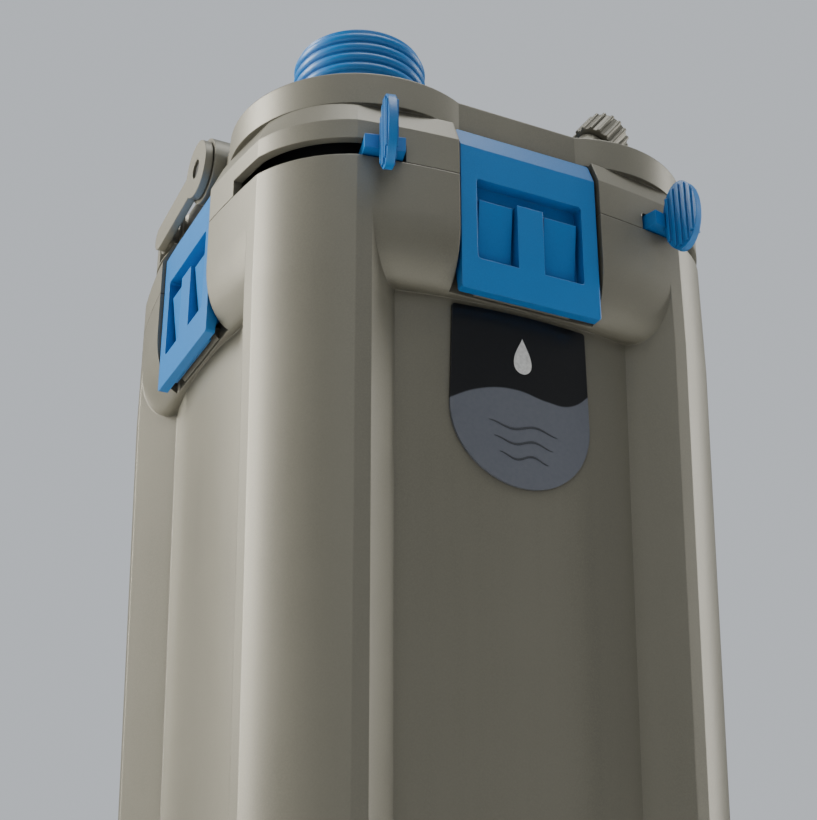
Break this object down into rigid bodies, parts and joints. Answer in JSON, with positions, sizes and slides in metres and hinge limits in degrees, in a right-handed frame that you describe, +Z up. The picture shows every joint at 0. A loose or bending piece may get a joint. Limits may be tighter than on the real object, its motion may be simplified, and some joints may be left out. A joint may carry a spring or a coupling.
{
  "type": "canister filter",
  "caption": "Tall canister filter with a latched square lid, threaded hose port, lever shut-off valves, vent cap, carry handle and media baskets.",
  "frame": {"origin": "centre of the base, on the plane the rubber feet stand on", "axes": "+Z up along the vessel axis, the labelled face looks along -Y, +X to the reader's right when facing the label"},
  "size_m": [0.1816, 0.196, 0.4116],
  "materials": {
    "body_plastic": "satin",
    "lid_plastic": "satin",
    "blue_plastic": "satin",
    "basket_plastic": "satin",
    "label_film": "satin",
    "black_rubber": "matte",
    "pin_dark": "matte",
    "steel": "brushed",
    "foam_blue": "open foam",
    "foam_white": "fine foam",
    "ceramic": "porous ceramic"
  },
  "bodies": {
    "vessel": {"vessel_shell": "body_plastic", "base_tray": "body_plastic", "rubber_feet": "black_rubber", "base_screws": "steel", "label_plate": "label_film", "catch_bar_front": "body_plastic", "catch_bar_right": "body_plastic", "catch_bar_rear": "body_plastic", "catch_bar_left": "body_plastic", "support_grid": "basket_plastic", "basket_lower": "basket_plastic", "basket_middle": "basket_plastic", "basket_upper": "basket_plastic", "foam_coarse": "foam_blue", "foam_fine": "foam_white", "ceramic_rings": "ceramic", "basket_cover": "basket_plastic", "riser_pipe": "blue_plastic"},
    "lid": {"lid_shell": "lid_plastic", "lid_deck": "basket_plastic", "lid_gasket": "black_rubber", "deck_screws": "steel", "riser_seal": "black_rubber", "valve_cup_left": "basket_plastic", "valve_cup_right": "basket_plastic", "port_seal_left": "black_rubber", "port_seal_right": "black_rubber", "inlet_port": "blue_plastic", "port_collar": "lid_plastic", "outlet_socket": "blue_plastic", "outlet_nut": "blue_plastic", "vent_seal": "black_rubber", "latch_pin_front": "steel", "latch_pin_right": "steel", "latch_pin_rear": "steel", "latch_pin_left": "steel", "handle_pin_left": "pin_dark", "handle_pin_right": "pin_dark"},
    "inlet_valve": {"valve_spool_left": "blue_plastic", "valve_lever_left": "blue_plastic"},
    "outlet_valve": {"valve_spool_right": "blue_plastic", "valve_lever_right": "blue_plastic"},
    "vent": {"vent_cap": "lid_plastic", "vent_stem": "lid_plastic"},
    "handle": {"carry_handle": "lid_plastic"},
    "front_latch": {"latch_front": "blue_plastic"},
    "right_latch": {"latch_right": "blue_plastic"},
    "rear_latch": {"latch_rear": "blue_plastic"},
    "left_latch": {"latch_left": "blue_plastic"}
  },
  "joints": [
    {"name": "lid_lift", "type": "slide", "parent": "vessel", "child": "lid", "axis": [0, 0, 1], "range_m": [0, 0.12]},
    {"name": "inlet_shutoff", "type": "hinge", "parent": "lid", "child": "inlet_valve", "pos_m": [-0.0415, -0.0415, 0.343], "axis": [0, 0, -1], "range_deg": [0, 61]},
    {"name": "outlet_shutoff", "type": "hinge", "parent": "lid", "child": "outlet_valve", "pos_m": [0.0415, -0.0415, 0.343], "axis": [0, 0, 1], "range_deg": [0, 61]},
    {"name": "vent_turn", "type": "hinge", "parent": "lid", "child": "vent", "pos_m": [0.042, -0.071, 0.3864], "axis": [0.6157, 0, 0.788], "range_deg": [0, 270]},
    {"name": "handle_swing", "type": "hinge", "parent": "lid", "child": "handle", "pos_m": [0, -0.006, 0.3748], "axis": [1, 0, 0], "range_deg": [0, 100]},
    {"name": "front_latch_swing", "type": "hinge", "parent": "lid", "child": "front_latch", "pos_m": [0, -0.0846, 0.3556], "axis": [-1, 0, 0], "range_deg": [0, 70]},
    {"name": "right_latch_swing", "type": "hinge", "parent": "lid", "child": "right_latch", "pos_m": [0.0846, 0, 0.3556], "axis": [0, -1, 0], "range_deg": [0, 70]},
    {"name": "rear_latch_swing", "type": "hinge", "parent": "lid", "child": "rear_latch", "pos_m": [0, 0.0846, 0.3556], "axis": [1, 0, 0], "range_deg": [0, 70]},
    {"name": "left_latch_swing", "type": "hinge", "parent": "lid", "child": "left_latch", "pos_m": [-0.0846, 0, 0.3556], "axis": [0, 1, 0], "range_deg": [0, 70]}
  ]
}
